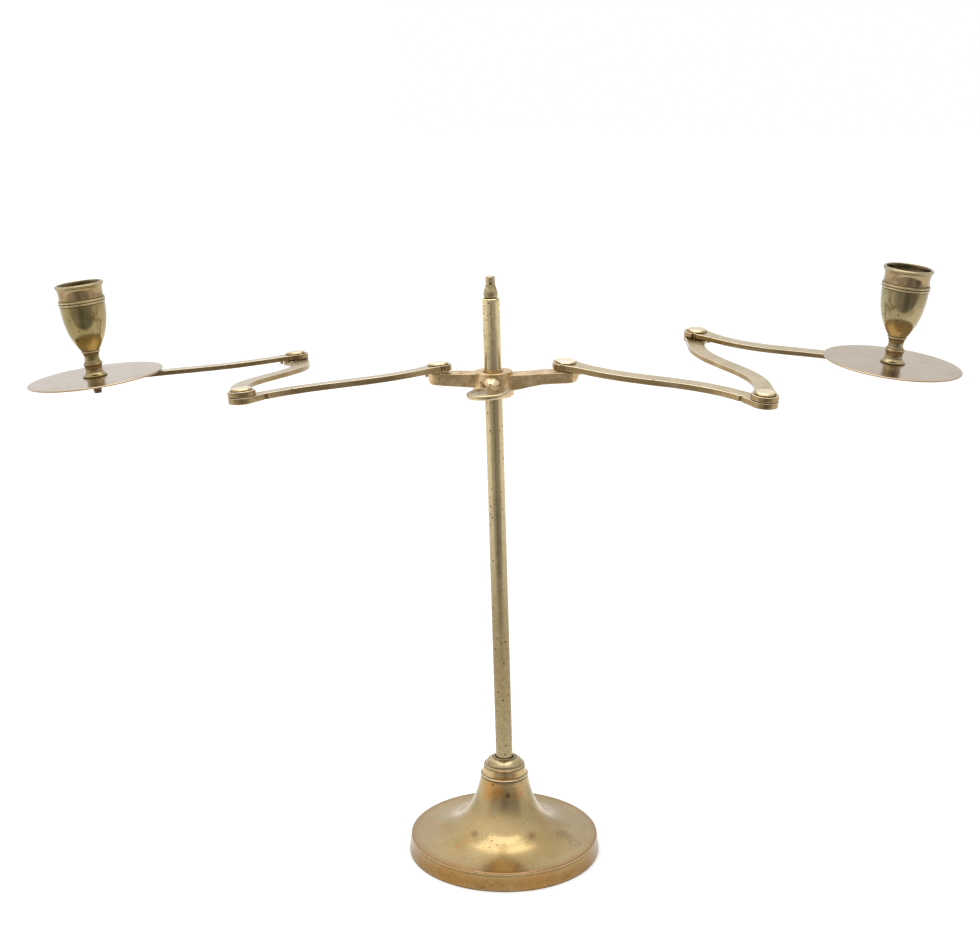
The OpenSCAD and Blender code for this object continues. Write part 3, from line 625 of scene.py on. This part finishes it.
ROD_R = 5.05
ROD_LEN = 277.7
STUD_R = 3.95
SHOULDER = -9.0
STUD_END = -34.0
ROD_PITCH, ROD_THREAD = 1.4, 0.45
rod = lathe("rod", [(0, SHOULDER), (ROD_R, SHOULDER), (ROD_R, ROD_LEN - 0.5),
                    (ROD_R - 0.5, ROD_LEN), (0, ROD_LEN)],
            ROD, sides=96, longest=2.5, ease=0.3, uneven=(0.05, 14.0))
finish_piece(rod, "column", "column_brass", rod_mat, "column_rod")
rod_thread = threaded("rod_thread", STUD_R, STUD_END, SHOULDER, ROD_PITCH, ROD_THREAD,
                      ROD)
finish_piece(rod_thread, "column", "column_brass", rod_mat)
finial = softened("finial_turned", "rod_finial", ROD, 0.11, smooth=5, uneven=(0.03, 2.5))
finish_piece(finial, "column", "column_brass", finial_mat, "rod_finial")


# ---- hub and screw ---------------------------------------------------------------------

hub = softened("hub_cast", "hub_slider", ROD, 0.2, smooth=5, uneven=(0.09, 5.0))
finish_piece(hub, "hub", "hub_brass", hub_mat, "hub_slider")
SCREW = joint_place("thumb_screw_turn")
screw = softened("thumb_screw_turned", "thumb_screw", SCREW, 0.17, smooth=5, uneven=(0.04, 4.0))
finish_piece(screw, "thumb_screw", "screw_brass", screw_mat, "thumb_screw")


# ---- arms ----------------------------------------------------------------------------------

THICK = (3.4, 2.9, 2.8)
GAP = (0.8, 0.4, 0.4)
HEAD_R, HEAD_H, SHANK_R = 6.1, 1.4, 2.75
HUB_PIN_LOW = {"right": 9.6, "left": 9.3}
PAN_R, PAN_T, PAN_EDGE = 39.45, 1.0, 0.35
CUP_H, SOCKET_R, SOCKET_DEPTH = 55.1, 11.5, 22.0
WALL_TOP = CUP_H - 5
TAIL_R, TAIL_H = SHANK_R + 1.6, 0.8
STUD_BELOW = {"right": 1.2, "left": 6.2}
CUP_STUD_R, CUP_STUD_IN_CUP = 2.55, 7.0
CUP_STUD_PITCH, CUP_STUD_THREAD = 0.8, 0.3
PARTS = ("inner", "middle", "outer")


def pivot_profile(top, below, tail_r):
    """A flat bevelled head over a shank, with a riveted tail where tail_r is wider. mm."""
    tail = TAIL_H if tail_r > SHANK_R else 0.0
    seat = top + 0.05
    return [(0, -below), (tail_r - 0.4, -below), (tail_r, -below + 0.3), (tail_r, -below + tail),
            (SHANK_R, -below + tail), (SHANK_R, seat), (HEAD_R - 0.2, seat), (HEAD_R, seat + 0.15),
            (HEAD_R, seat + 0.25 * HEAD_H), (HEAD_R - 1.1, seat + HEAD_H), (0, seat + HEAD_H)]


def cup_profile():
    """The cup's outside, from its foot up, and its inside, from its mouth down. mm."""
    band = 44.4
    lip_r, mouth_r = 14.25, 12.45
    floor = CUP_H - SOCKET_DEPTH
    outside = ([(2.6, 0), (7.0, 0), (7.1, 0.6)]
               + curve((6.9, 1), (5.4, 1.9), (4.9, 2.9), (4.85, 4.2), 10)
               + curve((4.85, 4.5), (4.9, 5.4), (5.1, 6), (5.2, 6.4), 6)
               + arc(4.95, 7.5, 0.75, -60, 60, 8)
               + curve((5.0, 8.4), (4.5, 9.2), (4.35, 10.2), (4.35, 11), 8)
               + curve((4.35, 11.4), (4.4, 12.8), (4.8, 13.7), (5.0, 14.2), 6)
               + arc(5.05, 14.8, 0.5, -60, 60, 6)
               + curve((5.2, 15.5), (8.6, 20), (12.6, 27.3), (13.15, 40.2), 30)
               + [(13.2, band - 1.6)]
               + arc(13.0, band - 0.75, 0.7, -70, 70, 7)
               + arc(13.0, band + 0.75, 0.7, -70, 70, 7)
               + curve((13.1, band + 1.7), (12.7, 47.4), (12.7, 50.4), (13.4, 52.5), 12)
               + arc(lip_r - 1.1, CUP_H - 1.1, 1.1, -60, 100, 12))
    inside = ([(mouth_r, CUP_H - 0.3), (mouth_r - 0.2, CUP_H - 1.2)]
              + curve((SOCKET_R + 0.5, CUP_H - 3), (SOCKET_R + 0.1, CUP_H - 4),
                      (SOCKET_R, CUP_H - 4.4), (SOCKET_R, CUP_H - 5), 6)
              + [(SOCKET_R, floor)]
              + curve((SOCKET_R - 0.3, floor - 1.5), (9.2, floor - 6), (6, floor - 8.5),
                      (0, floor - 9), 12))
    return outside[1:], inside


cup_mats = {"right": right_cup_mat, "left": left_cup_mat}
for side in ("right", "left"):
    sign = 1 if side == "right" else -1
    hinges = [joint_place(f"{side}_{part}_swing") for part in PARTS]
    normal = Vector(JOINTS[f"{side}_inner_swing"]["axis"]) * -sign
    socket = MOUNTS[f"{side}_candle_socket"]
    cup_axis = Vector(socket["axis"]).normalized()
    eye_to_socket = THICK[2] / 2 + PAN_T + (CUP_H - SOCKET_DEPTH + WALL_TOP) / 2
    cup_eye = Vector(socket["pos_m"]) - cup_axis * eye_to_socket * MM
    ends = [h.translation.copy() for h in hinges] + [cup_eye]
    for i, part in enumerate(PARTS):
        ahead = ends[i + 1] - ends[i]
        where = place(ends[i], normal, ahead)
        arm = softened(f"{side}_bar_{part}", f"{side}_arm_{part}", where, 0.22, smooth=3,
                       uneven=(0.07, 9.0))
        finish_piece(arm, f"{side}_{part}_arm", "arm_brass", arm_mat, f"{side}_arm_{part}")
        half = THICK[i] / 2
        if i == 0:
            owner, low, tail_r = "hub", HUB_PIN_LOW[side], SHANK_R
        else:
            owner = f"{side}_{PARTS[i - 1]}_arm"
            low, tail_r = half + GAP[i] + THICK[i - 1] + TAIL_H, TAIL_R
        pin = lathe(f"{side}_rivet_{part}", pivot_profile(half, low, tail_r), where, sides=72,
                    longest=1.0, ease=0.2, uneven=(0.05, 3.5))
        finish_piece(pin, owner, "pivot_brass", pivot_mat, f"{side}_pivot_{part}")
    cup_place = place(cup_eye, cup_axis)
    pan = lathe(f"{side}_pan", [(0, 0), (PAN_R - PAN_EDGE, 0), (PAN_R, PAN_EDGE),
                                (PAN_R, PAN_T - PAN_EDGE), (PAN_R - PAN_EDGE, PAN_T), (0, PAN_T)],
                cup_place @ Matrix.Translation((0, 0, THICK[2] / 2 * MM)), sides=200, longest=1.5,
                ease=0.2)
    finish_piece(pan, f"{side}_outer_arm", "pan_brass", pan_mat, f"{side}_drip_pan")
    outside, inside = cup_profile()
    cup = lathe(f"{side}_cup", [(0, 0)] + outside + inside,
                cup_place @ Matrix.Translation((0, 0, (THICK[2] / 2 + PAN_T) * MM)), sides=160,
                longest=1.2, ease=0.15, uneven=(0.05, 10.0))
    finish_piece(cup, f"{side}_outer_arm", "cup_brass", cup_mats[side], f"{side}_candle_cup")
    stud = threaded(f"{side}_stud", CUP_STUD_R, -THICK[2] / 2 - STUD_BELOW[side],
                    THICK[2] / 2 + PAN_T + CUP_STUD_IN_CUP, CUP_STUD_PITCH, CUP_STUD_THREAD,
                    cup_place)
    finish_piece(stud, f"{side}_outer_arm", "stud_steel", stud_mat, f"{side}_cup_stud")

for name, node in frame["nodes"].items():
    if name in ("base_washer", "base_nut"):
        cover(node, clamp_mat)
    elif "_washer_" in name or "_stop_" in name:
        cover(node, pivot_mat)


# ---- stage ---------------------------------------------------------------------------------

def plain_material(name, colour, rough):
    """One even colour, for the floor."""
    n = Surface(name)
    n.shader.inputs["Base Color"].default_value = (*colour, 1.0)
    n.shader.inputs["Roughness"].default_value = rough
    return n.material


FLOOR_HALF, FLOOR_FRONT = 8.0, -0.42
floor_mesh = bpy.data.meshes.new("floor")
floor_mesh.from_pydata([(-FLOOR_HALF, FLOOR_FRONT, 0), (FLOOR_HALF, FLOOR_FRONT, 0),
                        (FLOOR_HALF, FLOOR_HALF, 0), (-FLOOR_HALF, FLOOR_HALF, 0)],
                       [], [(0, 1, 2, 3)])
floor = bpy.data.objects.new("floor", floor_mesh)
floor_mesh.materials.append(plain_material("floor_pale", (0.93, 0.93, 0.93), 0.9))
bpy.context.scene.collection.objects.link(floor)


def area_light(name, place_at, aim_at, size, watts):
    """A soft rectangular light. Metres."""
    light = bpy.data.lights.new(name, "AREA")
    light.shape = "RECTANGLE"
    light.size, light.size_y = size
    light.energy = watts
    obj = bpy.data.objects.new(name, light)
    obj.location = place_at
    obj.rotation_euler = (Vector(aim_at) - Vector(place_at)).to_track_quat("-Z", "Y").to_euler()
    bpy.context.scene.collection.objects.link(obj)


OBJECT_MIDDLE = (0, 0, 0.2)
TOP_AT, TOP_SIZE, TOP_WATTS = (0, 0.05, 1.5), (1.3, 1.1), 7.4
area_light("top_soft", TOP_AT, OBJECT_MIDDLE, TOP_SIZE, TOP_WATTS)


def studio_world():
    """A bright room that is dimmer towards the front, with the camera's side the darkest."""
    world = bpy.data.worlds.new("studio")
    bpy.context.scene.world = world
    world.use_nodes = True
    n = Nodes(world.node_tree)
    x, y, z = n.axes(n.add("ShaderNodeTexCoord").outputs["Generated"])
    sky = n.math("MULTIPLY", n.ramp(z, 0.0, 1.0, 1.0, 1.45), n.ramp(x, -1.0, 1.0, 1.12, 0.86))
    front = n.math("MULTIPLY", n.ramp(y, -0.75, -0.3, 1.0, 0.0), n.ramp(z, 0.25, 0.6, 1.0, 0.0))
    middle = n.math("MULTIPLY", n.ramp(n.math("ABSOLUTE", x), 0.1, 0.34, 1.0, 0.0), front)
    level = n.math("SUBTRACT", sky, n.math("MULTIPLY", front, 0.5))
    level = n.math("SUBTRACT", level, n.math("MULTIPLY", middle, 0.2))
    seen = n.add("ShaderNodeLightPath").outputs["Is Camera Ray"]
    background = n.tree.nodes["Background"]
    n.link(n.math("MAXIMUM", level, seen), background.inputs["Strength"])
    background.inputs["Color"].default_value = (1.0, 1.0, 1.0, 1.0)


studio_world()

SENSOR_MM, LENS_MM = 36.0, 62.86
CAMERA_AT = (-0.008654, -0.95316, 0.47844)
CAMERA_DOWN = 14.254
camera_data = bpy.data.cameras.new("camera")
camera_data.sensor_width = SENSOR_MM
camera_data.lens = LENS_MM
camera = bpy.data.objects.new("camera", camera_data)
camera.location = CAMERA_AT
camera.rotation_euler = (math.radians(90 - CAMERA_DOWN), 0, 0)
bpy.context.scene.collection.objects.link(camera)
bpy.context.scene.camera = camera
bpy.context.scene.view_settings.view_transform = "Standard"
